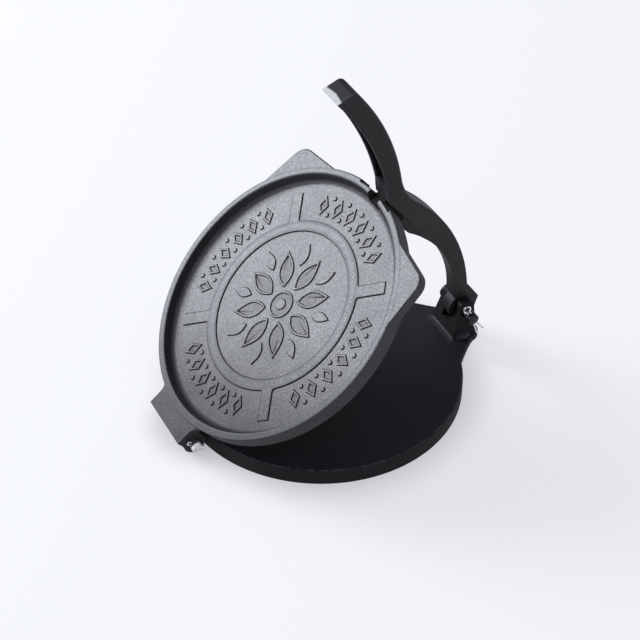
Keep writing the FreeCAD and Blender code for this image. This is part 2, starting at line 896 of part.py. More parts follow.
tip = sketch(lever, "tip_outline", "XZ_Plane")
outline(
    tip,
    [
        on_bend(GRIP_SHARES, S.channel_high_angle),
        bend_arc(GRIP_SHARES, S.channel_high_angle, tip_back_angle),
        on_bend(GRIP_SHARES, S.grip_high_angle, S.grip_depth),
        bend_arc(GRIP_SHARES, S.grip_high_angle, S.channel_high_angle, S.grip_depth),
    ],
)
pad(lever, "tip", tip, S.grip_width + S.grip_tip_proud * 2, both=True)
lever_hole = sketch(lever, "lever_hole_outline", "XZ_Plane")
circle(lever_hole, (zero, zero), pin_hole)
pocket(lever, "lever_hole", lever_hole, S.lever_thickness + S.overrun, both=True)

tip_corner = on_bend(GRIP_SHARES, tip_back_angle)


def tip_edge(edge):
    """The edge across the width at the tip's outer corner."""
    box = edge.BoundBox
    across = box.XLength < edge_slack and box.ZLength < edge_slack
    near = math.hypot(box.XMin - tip_corner[0].value, box.ZMin - tip_corner[1].value) < edge_slack
    return across and near


rounded(lever, "tip_corner", S.tip_round, tip_edge)

# Pins: a round shank with a domed end for a split pin and a domed head at the far side.


def dome_middle(radius, height):
    """The middle of a round dome's outline: across, and down from its top."""
    ball = (radius * radius + height * height) / (height * 2)
    return corner_arc((zero, ball), ball, (zero, size_of(-1)), (radius / ball, (height - ball) / ball))


def headed_pin(name, half_span, stand_out, hole_share, wire):
    made = body(name)
    near = -(half_span + stand_out)
    far = half_span + S.head_gap
    crown = S.pin_head_height - S.pin_dome_height
    end_middle = dome_middle(S.pin_radius, S.pin_dome_height)
    head_middle = dome_middle(S.pin_head_radius, S.pin_dome_height)
    section = sketch(made, name + "_section", "XY_Plane")
    outline(
        section,
        [
            (zero, near),
            ((end_middle[0], near + end_middle[1]), (S.pin_radius, near + S.pin_dome_height)),
            (S.pin_radius, far),
            (S.pin_head_radius, far),
            (S.pin_head_radius, far + crown),
            ((head_middle[0], far + S.pin_head_height - head_middle[1]), (zero, far + S.pin_head_height)),
        ],
    )
    turned(made, "Revolution", name + "_shank", section, "V_Axis")
    hole = sketch(made, name + "_hole_outline", "YZ_Plane")
    circle(hole, (-(half_span + stand_out * hole_share), zero), wire * 2 + S.wire_split / 2 + S.wire_fit)
    pocket(made, name + "_hole", hole, S.pin_head_radius * 2, both=True)
    return made


def split_pin(name, wire, eye, reach, length, spread):
    """Half the bent wire swept from the far side of its eye, and the other half mirrored."""
    made = body(name)
    offset = wire + S.wire_split / 2
    path = sketch(made, name + "_path", "XZ_Plane")
    span = eye + wire * 2
    side_up = offset + wire * 2
    along = leg(span, side_up)
    touch = (along * eye / span, side_up * eye / span)
    neck = corner_arc((along, side_up), wire * 2, (-along / span, -side_up / span), (zero, size_of(-1)))
    back = corner_arc((zero, zero), eye, (size_of(-1), zero), (touch[0] / eye, touch[1] / eye))
    straight = reach + S.pin_radius
    bend = wire * S.wire_bend_share
    turn_x = bend * sine(spread)
    turn_z = bend - bend * cosine(spread)
    half_turn = (bend * sine(spread / 2), bend - bend * cosine(spread / 2))
    rest = length - S.pin_radius - turn_x
    ends = [
        (-eye, zero),
        touch,
        (along, offset),
        (straight, offset),
        (straight + turn_x, offset + turn_z),
        (straight + turn_x + rest * cosine(spread), offset + turn_z + rest * sine(spread)),
    ]
    middles = [back, neck, None, (straight + half_turn[0], offset + half_turn[1]), None]
    open_path(path, ends, middles)
    wire_section = sketch(made, name + "_section", "XY_Plane")
    circle(wire_section, (-eye, zero), wire)
    half = made.newObject("PartDesign::AdditivePipe", name + "_half")
    half.Profile = wire_section
    half.Spine = (path, ["Edge%d" % (i + 1) for i in range(len(middles))])
    wire_section.Visibility = False
    path.Visibility = False
    settled(half)
    copied(made, "Mirrored", name + "_legs", [half], MirrorPlane=(plane(made, "XY_Plane"), [""]))
    return made


# The lever pin's head and end stand off the fork's leaning sides, level with its lower edge.
fork_side_at = (S.pivot_height - S.pin_head_radius - base_top) / S.fork_height
half_pin_span = half_fork - (half_fork - half_fork_top) * fork_side_at
lever_pin = headed_pin(
    "lever_pin", half_pin_span, S.lever_pin_stand_out, S.lever_pin_hole_share, S.lever_wire_radius
)
hinge_pin = headed_pin("hinge_pin", half_hinge, S.hinge_pin_stand_out, S.hinge_pin_hole_share, S.hinge_wire_radius)
lever_cotter = split_pin(
    "lever_cotter",
    S.lever_wire_radius,
    S.lever_eye_radius,
    S.lever_split_reach,
    S.lever_split_length,
    S.lever_split_spread_angle,
)
hinge_cotter = split_pin(
    "hinge_cotter",
    S.hinge_wire_radius,
    S.hinge_eye_radius,
    S.hinge_split_reach,
    S.hinge_split_length,
    S.hinge_split_spread_angle,
)


def place(made, x, y, z, turn=None):
    """Sets a body's place, and its turn about the line across the press."""
    made.Placement = FreeCAD.Placement(
        V(x.value, y.value, z.value), FreeCAD.Rotation(V(0, 1, 0), turn.value if turn else 0)
    )
    for axis, value in zip("xyz", (x, y, z)):
        made.setExpression(".Placement.Base." + axis, value.text)
    if turn:
        made.setExpression(".Placement.Rotation.Angle", turn.text)


place(lever, pivot_x, zero, S.pivot_height)
place(lever_pin, pivot_x, zero, S.pivot_height, S.lever_split_turn_angle)
place(hinge_pin, hinge_x, zero, S.hinge_height, S.hinge_split_turn_angle)
for made, x, z, reach, turn, y in (
    (
        lever_cotter,
        pivot_x,
        S.pivot_height,
        S.lever_split_reach,
        S.lever_split_turn_angle,
        half_pin_span + S.lever_pin_stand_out * S.lever_pin_hole_share,
    ),
    (
        hinge_cotter,
        hinge_x,
        S.hinge_height,
        S.hinge_split_reach,
        S.hinge_split_turn_angle,
        half_hinge + S.hinge_pin_stand_out * S.hinge_pin_hole_share,
    ),
):
    place(made, x - reach * cosine(turn), -y, z + reach * sine(turn), turn)

# The lid stands open in its rest place: turned up about the hinge.
opened = -S.lid_open_angle
stay = size_of(1) - cosine(opened)
place(
    lid,
    hinge_x * stay - S.hinge_height * sine(opened),
    zero,
    S.hinge_height * stay + hinge_x * sine(opened),
    opened,
)
doc.recompute()

failed = [o.Label for o in doc.Objects if "Invalid" in o.State or "Error" in o.State]
if failed:
    raise ValueError("failed: " + ", ".join(failed))
os.makedirs("parts", exist_ok=True)
for piece in (base, lid, lever, hinge_pin, hinge_cotter, lever_pin, lever_cotter):
    shape = piece.Shape
    if shape.isNull() or not shape.isValid() or len(shape.Solids) != 1:
        raise ValueError("not one valid solid: " + piece.Label)
for piece in (base, lid, lever, hinge_pin, hinge_cotter, lever_pin, lever_cotter):
    piece.Shape.exportStep("parts/%s.step" % piece.Label)
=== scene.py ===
import math

import bmesh
import bpy
from bpy.props import FloatProperty, FloatVectorProperty, IntProperty, PointerProperty
from mathutils import Matrix, Vector


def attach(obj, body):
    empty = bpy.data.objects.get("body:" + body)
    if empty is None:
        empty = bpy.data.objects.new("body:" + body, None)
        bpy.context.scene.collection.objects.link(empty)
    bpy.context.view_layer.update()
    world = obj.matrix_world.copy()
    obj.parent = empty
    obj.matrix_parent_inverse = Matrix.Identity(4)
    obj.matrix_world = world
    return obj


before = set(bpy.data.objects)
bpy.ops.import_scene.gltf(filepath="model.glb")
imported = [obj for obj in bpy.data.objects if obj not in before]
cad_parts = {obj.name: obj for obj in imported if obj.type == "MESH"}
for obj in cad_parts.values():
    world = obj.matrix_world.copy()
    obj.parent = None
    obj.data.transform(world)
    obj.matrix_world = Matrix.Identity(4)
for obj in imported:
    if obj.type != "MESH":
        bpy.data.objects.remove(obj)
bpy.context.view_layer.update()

bl_info = {
    "name": "Tortilla Press Dresser",
    "version": (1, 0, 0),
    "blender": (4, 5, 0),
    "location": "View3D > Sidebar > Press",
    "description": "Cast-iron finishes, lid ornament, pins and studio for a hand press",
    "category": "Object",
}

MM = 0.001


# Sizes and colours


class PressCastingSizes(bpy.types.PropertyGroup):
    """Sizes of the castings that the ornament and the finishes follow."""

    hinge_out: FloatProperty(
        name="Hinge distance",
        description="From the lid's centre to the hinge axis",
        default=109.35 * MM,
        unit="LENGTH",
    )
    hinge_height: FloatProperty(
        name="Hinge height", description="Hinge axis above the table", default=8.3 * MM, unit="LENGTH"
    )
    open_angle: FloatProperty(
        name="Lid angle",
        description="How far the lid stands open at rest",
        default=math.radians(39.75),
        subtype="ANGLE",
    )
    relief_turn: FloatProperty(
        name="Relief turn",
        description="How far the raised spokes and the ornament are turned on the lid",
        default=math.radians(1.7),
        subtype="ANGLE",
    )
    floor_height: FloatProperty(
        name="Recess floor",
        description="Height of the recess floor with the lid closed",
        default=16.5 * MM,
        unit="LENGTH",
    )
    ring_inner: FloatProperty(
        name="Ring inside", description="Inner radius of the raised ring", default=55.2 * MM, unit="LENGTH"
    )
    ring_outer: FloatProperty(
        name="Ring outside", description="Outer radius of the raised ring", default=63.05 * MM, unit="LENGTH"
    )
    spoke_width: FloatProperty(
        name="Spoke width", description="Width of the raised spokes", default=8.8 * MM, unit="LENGTH"
    )
    spoke_reach: FloatProperty(
        name="Spoke reach", description="Where the raised relief ends", default=85.5 * MM, unit="LENGTH"
    )
    recess_wall: FloatProperty(
        name="Recess wall", description="Radius of the recess's wall", default=94.9 * MM, unit="LENGTH"
    )
    rim_inner: FloatProperty(
        name="Rim inside", description="Radius of the rim's inner edge", default=96.9 * MM, unit="LENGTH"
    )
    rim_outer: FloatProperty(
        name="Rim outside", description="Radius of the rim's outer edge", default=100.3 * MM, unit="LENGTH"
    )
    crest_rise: FloatProperty(
        name="Crest rise",
        description="Height over the recess floor from which the rim's edges are worn",
        default=7 * MM,
        unit="LENGTH",
    )
    plate_radius: FloatProperty(
        name="Plate radius", description="Radius of the base plate", default=101.5 * MM, unit="LENGTH"
    )
    plate_height: FloatProperty(
        name="Plate height", description="Top of the base plate", default=12.25 * MM, unit="LENGTH"
    )


class PressTrimSizes(bpy.types.PropertyGroup):
    """The seam and the flare round the fork's foot, and the lever's nose."""

    fork_front: FloatProperty(
        name="Fork front", description="Front of the fork's foot", default=101.6 * MM, unit="LENGTH"
    )
    fork_half: FloatProperty(
        name="Fork half width",
        description="Half the width of the fork's foot",
        default=14.9 * MM,
        unit="LENGTH",
    )
    seam_front: FloatProperty(
        name="Seam front",
        description="How far the seam stays behind the fork's front, clear of the closed lid",
        default=1.75 * MM,
        unit="LENGTH",
    )
    seam_back: FloatProperty(
        name="Seam back", description="Where the seam ends behind the front", default=11 * MM, unit="LENGTH"
    )
    seam_corner: FloatProperty(
        name="Seam corner", description="Rounding of the seam's corners", default=3 * MM, unit="LENGTH"
    )
    seam_wave: FloatProperty(
        name="Seam wave", description="How uneven the seam's surface is", default=0.35 * MM, unit="LENGTH"
    )
    seam_wave_length: FloatProperty(
        name="Seam wave length", description="Size of the seam's waves", default=7 * MM, unit="LENGTH"
    )
    tongue_half: FloatProperty(
        name="Tongue half width",
        description="Half the tongue's width at its end",
        default=17.5 * MM,
        unit="LENGTH",
    )
    flare_root: FloatProperty(
        name="Flare",
        description="Half the tongue's width where it meets the disc",
        default=38 * MM,
        unit="LENGTH",
    )
    flare_end: FloatProperty(
        name="Flare end",
        description="Where the flare meets the tongue, from the fork's front",
        default=14.4 * MM,
        unit="LENGTH",
    )
    flare_bend: FloatProperty(
        name="Flare bend", description="1 for a straight side, more for a hollow one", default=1.15
    )
    flare_under: FloatProperty(
        name="Flare underside",
        description="The flare's underside above the table",
        default=6.2 * MM,
        unit="LENGTH",
    )
    nose_reach: FloatProperty(
        name="Nose reach",
        description="From the hinge axis to the lever's nose, which stands in the lid's notch",
        default=202.55 * MM,
        unit="LENGTH",
    )
    nose_low: FloatProperty(
        name="Nose low end",
        description="Angle about the hinge where the nose begins",
        default=math.radians(35.6),
        subtype="ANGLE",
    )
    nose_high: FloatProperty(
        name="Nose high end",
        description="Angle about the hinge where the nose ends",
        default=math.radians(42.4),
        subtype="ANGLE",
    )
    nose_half: FloatProperty(
        name="Nose half width",
        description="Half the width of the lever's nose",
        default=6.2 * MM,
        unit="LENGTH",
    )
    nose_edge: FloatProperty(
        name="Nose edge", description="How far its edges are broken", default=0.5 * MM, unit="LENGTH"
    )


class PressOrnamentSizes(bpy.types.PropertyGroup):
    """The plain raised pattern in the lid's recess."""

    relief: FloatProperty(
        name="Relief", description="How far the pattern stands up", default=0.85 * MM, unit="LENGTH"
    )
    petals: IntProperty(name="Petals", description="Petals in each round of the rosette", default=8)
    rosette_radius: FloatProperty(
        name="Rosette radius", description="Reach of the long petals", default=41 * MM, unit="LENGTH"
    )
    petal_start: FloatProperty(
        name="Petal start", description="Where the long petals begin", default=12.5 * MM, unit="LENGTH"
    )
    petal_width: FloatProperty(
        name="Petal width", description="Width of the long petals", default=14 * MM, unit="LENGTH"
    )
    leaf_start: FloatProperty(
        name="Leaf start", description="Where the leaves between them begin", default=29 * MM, unit="LENGTH"
    )
    leaf_length: FloatProperty(
        name="Leaf length", description="Length of the leaves", default=18 * MM, unit="LENGTH"
    )
    leaf_width: FloatProperty(
        name="Leaf width", description="Width of the leaves", default=8 * MM, unit="LENGTH"
    )
    eye_radius: FloatProperty(
        name="Eye radius", description="Ring in the rosette's middle", default=10.5 * MM, unit="LENGTH"
    )
    button_radius: FloatProperty(
        name="Button radius", description="Button in that ring", default=4.5 * MM, unit="LENGTH"
    )
    band_radius: FloatProperty(
        name="Band radius", description="Middle of the lozenge band", default=75.5 * MM, unit="LENGTH"
    )
    lozenges: IntProperty(name="Lozenges", description="Lozenges in each panel", default=6)
    lozenge_step: FloatProperty(
        name="Lozenge step",
        description="Angle from one lozenge to the next",
        default=math.radians(10.6),
        subtype="ANGLE",
    )
    lozenge_tall: FloatProperty(
        name="Lozenge reach", description="Half its length along the radius", default=8.2 * MM, unit="LENGTH"
    )
    lozenge_wide: FloatProperty(
        name="Lozenge half width", description="Half its width", default=4.9 * MM, unit="LENGTH"
    )
    dot_radius: FloatProperty(
        name="Dot radius", description="Radius of the dots in the gaps", default=2 * MM, unit="LENGTH"
    )
    dot_inside: FloatProperty(
        name="Inner dots", description="How far inside the band's middle", default=6.2 * MM, unit="LENGTH"
    )
    dot_outside: FloatProperty(
        name="Outer dots", description="How far outside the band's middle", default=6.6 * MM, unit="LENGTH"
    )


class PressIronColours(bpy.types.PropertyGroup):
    """Colours of the seasoned iron and the steel."""

    base_iron: FloatVectorProperty(
        name="Base iron",
        description="Smooth seasoned iron of the base",
        default=(0.0145, 0.0150, 0.0195),
        subtype="COLOR",
        size=3,
    )
    lid_iron: FloatVectorProperty(
        name="Lid iron",
        description="Grainy seasoned iron of the lid",
        default=(0.056, 0.057, 0.067),
        subtype="COLOR",
        size=3,
    )
    lever_iron: FloatVectorProperty(
        name="Lever iron",
        description="Grainy seasoned iron of the lever",
        default=(0.0125, 0.0127, 0.0148),
        subtype="COLOR",
        size=3,
    )
    bare_iron: FloatVectorProperty(
        name="Bare iron",
        description="Ground metal at the lever's tip",
        default=(0.62, 0.62, 0.63),
        subtype="COLOR",
        size=3,
    )
    pin_steel: FloatVectorProperty(
        name="Pin steel", description="Bright hinge pin", default=(0.9, 0.9, 0.91), subtype="COLOR", size=3
    )
    dark_steel: FloatVectorProperty(
        name="Dark steel",
        description="Dark lever pin",
        default=(0.06, 0.06, 0.065),
        subtype="COLOR",
        size=3,
    )
    wire_steel: FloatVectorProperty(
        name="Wire steel",
        description="Bright plated wire",
        default=(0.78, 0.78, 0.8),
        subtype="COLOR",
        size=3,
    )


class PressStudio(bpy.types.PropertyGroup):
    """Camera, lights and floor."""

    eye: FloatVectorProperty(
        name="Camera place",
        description="Where the camera stands",
        default=(-0.4460, -0.8541, 0.8829),
        subtype="TRANSLATION",
        size=3,
    )
    look_back: FloatVectorProperty(
        name="Camera back",
        description="Direction out of the camera's back",
        default=(-0.3514, -0.6738, 0.65),
        subtype="DIRECTION",
        size=3,
    )
    look_up: FloatVectorProperty(
        name="Camera up",
        description="Direction of the picture's top",
        default=(0.2963, 0.5785, 0.76),
        subtype="DIRECTION",
        size=3,
    )
    lens: FloatProperty(
        name="Lens", description="Focal length on a 36 mm sensor", default=102.465, unit="CAMERA"
    )
    floor: FloatVectorProperty(
        name="Floor", description="Colour of the floor", default=(0.94, 0.95, 0.99), subtype="COLOR", size=3
    )
    floor_reach: FloatProperty(
        name="Floor reach", description="Half the floor's width", default=6.0, unit="LENGTH"
    )
    floor_share: FloatProperty(
        name="Floor reflection",
        description="Share of the light it reflects",
        default=0.27,
        subtype="FACTOR",
    )
    floor_glow: FloatProperty(
        name="Floor glow", description="Light that the floor gives itself", default=0.73
    )
    contact_shade: FloatProperty(
        name="Contact shade",
        description="How much less the floor glows beside the press",
        default=0.27,
        subtype="FACTOR",
    )
    lamp: FloatVectorProperty(
        name="Lamp colour",
        description="Cool white of the lights",
        default=(0.92, 0.94, 1.0),
        subtype="COLOR",
        size=3,
    )
    key_way: FloatVectorProperty(
        name="Key direction",
        description="From the press towards the key light",
        default=(-0.525, 0.69, 0.505),
        subtype="DIRECTION",
        size=3,
    )
    key_distance: FloatProperty(
        name="Key distance", description="Key light from the press", default=3.0, unit="LENGTH"
    )
    key_size: FloatProperty(
        name="Key size", description="Diameter of the key light", default=1.8, unit="LENGTH"
    )
    key_power: FloatProperty(
        name="Key light", description="Power of the key light", default=104.0, unit="POWER"
    )
    fill_way: FloatVectorProperty(
        name="Fill direction",
        description="From the press towards the fill light",
        default=(-0.35, -0.35, 0.87),
        subtype="DIRECTION",
        size=3,
    )
    fill_distance: FloatProperty(
        name="Fill distance", description="Fill light from the press", default=1.8, unit="LENGTH"
    )
    fill_size: FloatProperty(
        name="Fill size", description="Diameter of the fill light", default=1.6, unit="LENGTH"
    )
    fill_power: FloatProperty(
        name="Fill light", description="Power of the fill light", default=2.0, unit="POWER"
    )
    aim_height: FloatProperty(
        name="Aim height", description="Height that the lights aim at", default=50 * MM, unit="LENGTH"
    )
    sky: FloatVectorProperty(
        name="Surroundings",
        description="Colour of the pale surroundings",
        default=(0.90, 0.93, 1.0),
        subtype="COLOR",
        size=3,
    )
    sky_strength: FloatProperty(
        name="Surroundings strength", description="Their brightness", default=0.34
    )


# Shader writing


class Flow:
    """A shader value: arithmetic on it adds Math nodes."""

    def __init__(self, paint, socket):
        self.paint = paint
        self.socket = socket

    def _math(self, operation, first, second=None, clamp=False):
        return self.paint.node(
            "ShaderNodeMath", {"operation": operation, "use_clamp": clamp}, {0: first, 1: second}
        )

    def __add__(self, other):
        return self._math("ADD", self, other)

    __radd__ = __add__

    def __sub__(self, other):
        return self._math("SUBTRACT", self, other)

    def __rsub__(self, other):
        return self._math("SUBTRACT", other, self)

    def __mul__(self, other):
        return self._math("MULTIPLY", self, other)

    __rmul__ = __mul__

    def held(self):
        """The value kept between 0 and 1."""
        return self._math("ADD", self, 0.0, clamp=True)

    def between(self, low, high):
        """0 below low, 1 above high, smooth in between."""
        return self.paint.node(
            "ShaderNodeMapRange",
            {"interpolation_type": "SMOOTHSTEP"},
            {"Value": self, "From Min": low, "From Max": high, "To Min": 0.0, "To Max": 1.0},
        )

    def band(self, low, full, fading, gone):
        """1 from full to fading, 0 below low and above gone."""
        return self.between(low, full) * (1 - self.between(fading, gone))

    def size(self):
        """The value without its sign."""
        return self._math("ABSOLUTE", self)

    def near(self, place, solid, faded):
        """1 within the solid distance of a place, 0 beyond the faded one."""
        return 1 - (self - place).size().between(solid, faded)

    def length_with(self, other):
        """The length of two sides at a right angle."""
        return self._math("SQRT", self * self + other * other)


class Paint:
    """One material and the nodes that make it."""

    def __init__(self, name):
        self.material = bpy.data.materials.new(name)
        self.material.use_nodes = True
        self.tree = self.material.node_tree
        self.shader = self.tree.nodes["Principled BSDF"]

    def node(self, kind, settings=None, inputs=None, output=0):
        """Adds a node: its settings first, then its inputs as values or links."""
        made = self.tree.nodes.new(kind)
        for key, value in (settings or {}).items():
            setattr(made, key, value)
        for key, value in (inputs or {}).items():
            if value is None:
                continue
            if isinstance(value, Flow):
                self.tree.links.new(value.socket, made.inputs[key])
            else:
                made.inputs[key].default_value = value
        return Flow(self, made.outputs[output])

    def place(self):
        """The point on the piece, in the shared frame."""
        return self.node("ShaderNodeTexCoord", output="Object")

    def facing(self, way):
        """How far the surface faces one way of the piece, from -1 to 1."""
        normal = self.node("ShaderNodeTexCoord", output="Normal")
        settings = {"operation": "DOT_PRODUCT"}
        return self.node("ShaderNodeVectorMath", settings, {0: normal, 1: way}, output="Value")

    def axes(self, vector):
        """The three numbers of a vector."""
        return [self.node("ShaderNodeSeparateXYZ", None, {0: vector}, output=axis) for axis in "XYZ"]

    def noise(self, scale, detail=2.0, roughness=0.5, vector=None):
        """Soft noise, so many waves to a metre."""
        return self.node(
            "ShaderNodeTexNoise",
            None,
            {
                "Vector": vector or self.place(),
                "Scale": scale,
                "Detail": detail,
                "Roughness": roughness,
            },
        )

    def cells(self, scale):
        """Small round cells, so many to a metre."""
        return self.node(
            "ShaderNodeTexVoronoi", {"feature": "F1"}, {"Vector": self.place(), "Scale": scale}
        )

    def blend(self, amount, first, second):
        """Mixes two colours, each a plain colour or a link."""
        first, second = [c if isinstance(c, Flow) else (*c[:3], 1.0) for c in (first, second)]
        return self.node(
            "ShaderNodeMix", {"data_type": "RGBA"}, {0: amount, 6: first, 7: second}, output=2
        )

    def bump(self, height, distance, strength=1.0, under=None):
        """Tilts the surface by a height, on top of another bump where one is given."""
        return self.node(
            "ShaderNodeBump",
            None,
            {"Height": height, "Distance": distance, "Strength": strength, "Normal": under},
        )

    def coat_with_shade(self, mask, colour):
        """Lays a dull, dark coat of painted shade over the shader where the mask says."""
        matt = self.node(
            "ShaderNodeBsdfPrincipled",
            None,
            {"Base Color": (*colour, 1.0), "Roughness": 0.95, "Specular IOR Level": 0.05},
        )
        bright = Flow(self, self.shader.outputs["BSDF"])
        mixed = self.node("ShaderNodeMixShader", None, {0: mask, 1: bright, 2: matt})
        self.tree.links.new(mixed.socket, self.tree.nodes["Material Output"].inputs["Surface"])

    def finish(self, **values):
        """Sets the shader's own sockets, spelled with underscores for spaces."""
        for key, value in values.items():
            socket = self.shader.inputs[key.replace("_", " ")]
            if isinstance(value, Flow):
                self.tree.links.new(value.socket, socket)
            else:
                socket.default_value = value
        return self.material


def toned(colour, share):
    """A colour made lighter or darker by a share."""
    return tuple(c * share for c in colour)


# Castings and shapes


def dress(node, material):
    """Gives a casting its finish."""
    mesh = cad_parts[node].data
    mesh.materials.clear()
    mesh.materials.append(material)


def soften(node, angle=32.0):
    """Smooths a casting's shading over its rounded edges."""
    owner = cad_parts[node]
    weld = owner.modifiers.new("Weld", "WELD")
    weld.merge_threshold = 0.01 * MM
    for polygon in owner.data.polygons:
        polygon.use_smooth = True
    split = owner.modifiers.new("Sharp edges", "EDGE_SPLIT")
    split.split_angle = math.radians(angle)
    weighted = owner.modifiers.new("Even shading", "WEIGHTED_NORMAL")
    weighted.keep_sharp = True


def lid_matrix(sizes):
    """From the closed lid to the lid as it stands at rest."""
    hinge = Vector((-sizes.hinge_out, 0, sizes.hinge_height))
    opened = Matrix.Rotation(-sizes.open_angle, 4, "Y")
    return Matrix.Translation(hinge) @ opened @ Matrix.Translation(-hinge)


def link_piece(name, bm, material, body):
    """Turns a finished mesh into a piece that rides on a body."""
    bmesh.ops.recalc_face_normals(bm, faces=bm.faces)
    mesh = bpy.data.meshes.new(name)
    bm.to_mesh(mesh)
    bm.free()
    piece = bpy.data.objects.new(name, mesh)
    bpy.context.scene.collection.objects.link(piece)
    mesh.materials.append(material)
    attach(piece, body)
    return piece


def inset(points, amount):
    """An outline, given anticlockwise, moved inwards by an amount."""
    moved = []
    for i, point in enumerate(points):
        before = (point - points[i - 1]).normalized()
        after = (points[(i + 1) % len(points)] - point).normalized()
        inwards = [Vector((-way.y, way.x)) for way in (before, after)]
        middle = (inwards[0] + inwards[1]).normalized()
        moved.append(point + middle * (amount / max(middle.dot(inwards[0]), 0.5)))
    return moved


def stepped(bm, points, steps, at, closed=False):
    """A form that rises over an outline by steps, each an inset and a height, and ends in a face.

    Where it is closed, it starts with a face too."""
    loops = []
    for amount, height in steps:
        loops.append([bm.verts.new(at @ Vector((p.x, p.y, height))) for p in inset(points, amount)])
    for low, high in zip(loops, loops[1:]):
        for i in range(len(points)):
            j = (i + 1) % len(points)
            bm.faces.new((low[i], low[j], high[j], high[i]))
    bm.faces.new(loops[-1])
    if closed:
        bm.faces.new(loops[0][::-1])


def round_outline(radius, count):
    """A circle of so many points, anticlockwise."""
    turns = [math.tau * k / count for k in range(count)]
    return [Vector((radius * math.cos(turn), radius * math.sin(turn))) for turn in turns]


def rounded_corners(corners, radius):
    """An outline, given anticlockwise with square corners, with its corners rounded."""
    points = []
    steps = 5
    for i, corner in enumerate(corners):
        corner = Vector(corner)
        before = (corner - Vector(corners[i - 1])).normalized()
        after = (Vector(corners[(i + 1) % len(corners)]) - corner).normalized()
        middle = corner - before * radius + after * radius
        for k in range(steps + 1):
            turn = math.pi / 2 * k / steps
            points.append(middle + (before * math.sin(turn) - after * math.cos(turn)) * radius)
    return points


def petal_outline(start, length, width):
    """A pointed petal along +X, fuller towards its root."""
    steps = 16
    fullness = 0.85
    shares = [i / steps for i in range(steps + 1)]
    half = [width / 2 * math.sin(math.pi * share ** fullness) for share in shares]
    lower = [Vector((start + length * share, -h)) for share, h in zip(shares, half)]
    upper = [Vector((start + length * share, h)) for share, h in zip(shares, half)]
    return lower + upper[-2:0:-1]


def ruffle(piece, height, scale):
    """Gives a piece the uneven surface of a cast seam."""
    split = piece.modifiers.new("Finer", "SUBSURF")
    split.subdivision_type = "SIMPLE"
    split.levels = split.render_levels = 2
    texture = bpy.data.textures.new(piece.name + "_waves", "CLOUDS")
    texture.noise_scale = scale
    waves = piece.modifiers.new("Waves", "DISPLACE")
    waves.texture = texture
    waves.texture_coords = "LOCAL"
    waves.strength = height * 2


# Finishes


def seasoned_iron(name, colour, grain, rough, shine, sand_scale, marks=None):
    """Oiled cast iron: sandy skin, faint patches of thicker seasoning, and marks where asked.

    The grain is the skin's height, and the sand scale is its grains to a metre. Each mark is a mask
    and the colour that it lays over the iron, or no colour for a dull, dark coat of painted shade."""
    paint = Paint(name)
    sand = paint.noise(sand_scale, detail=3.0, roughness=0.7)
    fine = paint.noise(sand_scale * 2.6, detail=1.0)
    pits = paint.cells(sand_scale * 0.8)
    patches = paint.noise(38.0, detail=4.0, roughness=0.6)
    blotches = paint.noise(9.0, detail=2.0)
    speckle = sand.between(0.34, 0.66)
    tone = (speckle * 0.7 + fine * 0.2 + patches * 0.5 + blotches * 0.3 - 0.35).held()
    shade = paint.blend(tone, toned(colour, 0.45), toned(colour, 1.6))
    roughness = (rough + 0.05 + (0.5 - sand) * 0.3 + (patches - 0.5) * 0.16).held()
    for mask, over in marks(paint) if marks else ():
        if over is None:
            paint.coat_with_shade(mask, toned(colour, 0.1))
            continue
        shade = paint.blend(mask, shade, over)
        roughness = (roughness + mask * 0.25).held()
    skin = sand * 0.7 + fine * 0.15 + pits * 0.25
    thick = paint.bump(patches, 0.4 * MM, 0.25)
    return paint.finish(
        Base_Color=shade,
        Roughness=roughness,
        Specular_IOR_Level=shine,
        Normal=paint.bump(skin, grain, under=thick),
    )


def closed_axes(paint, sizes):
    """Along, across and up on the lid, as if it lay closed."""
    x, y, z = paint.axes(paint.place())
    turn, lift = math.cos(sizes.open_angle), math.sin(sizes.open_angle)
    out, rise = x + sizes.hinge_out, z - sizes.hinge_height
    return out * turn + rise * lift - sizes.hinge_out, y, rise * turn - out * lift + sizes.hinge_height


class PRESS_OT_base_finish(bpy.types.Operator):
    """Finishes the base casting: a smooth dark top, painted shade on its sides, a thin painted highlight on
    its edge and a pale painted highlight in front of the fork
    """

    bl_idname = "press.base_finish"
    bl_label = "Base finish"

    def execute(self, context):
        sizes = context.scene.press_casting
        trim = context.scene.press_trim
        radius, height = sizes.plate_radius, sizes.plate_height
        colour = tuple(context.scene.press_colours.base_iron)

        def marks(paint):
            x, y, z = paint.axes(paint.place())
            reach = x.length_with(y)
            # A broken line of painted highlight on the edge's rounding, just inside the disc's edge, which
            # stops at the tongue
            rim = reach.band(*(radius - back * MM for back in (1.3, 0.9, 0.5, 0.1)))
            upper = z.between(height - 1.1 * MM, height - 0.4 * MM)
            broken = paint.noise(260.0).between(0.35, 0.62)
            beside_tongue = 1 - x.between(radius - 17 * MM, radius - 12 * MM)
            highlighted = tuple(c + 0.03 for c in toned(colour, 5.0))
            # Painted shade: the sides darker than the top
            side = 1 - paint.facing((0, 0, 1)).between(0.3, 0.9)
            # A pale uneven band on the disc, just in front of the fork: a painted highlight where the fork's
            # foot meets the disc
            uneven = x + (paint.noise(260.0) - 0.5) * 2.6 * MM
            seam = uneven.band(*(trim.fork_front - ahead * MM for ahead in (5.6, 4.6, 2.6, 1.4)))
            seam = seam * (1 - y.size().between(trim.fork_half, trim.fork_half + 3 * MM))
            return (
                (side, toned(colour, 0.3)),
                ((rim * beside_tongue * upper * broken * 0.5).held(), highlighted),
                (seam * 0.7, toned(colour, 3.0)),
            )

        iron = seasoned_iron("Base iron", colour, 0.05 * MM, 0.46, 0.3, 900.0, marks)
        dress("base_plate", iron)
        soften("base_plate")
        return {"FINISHED"}


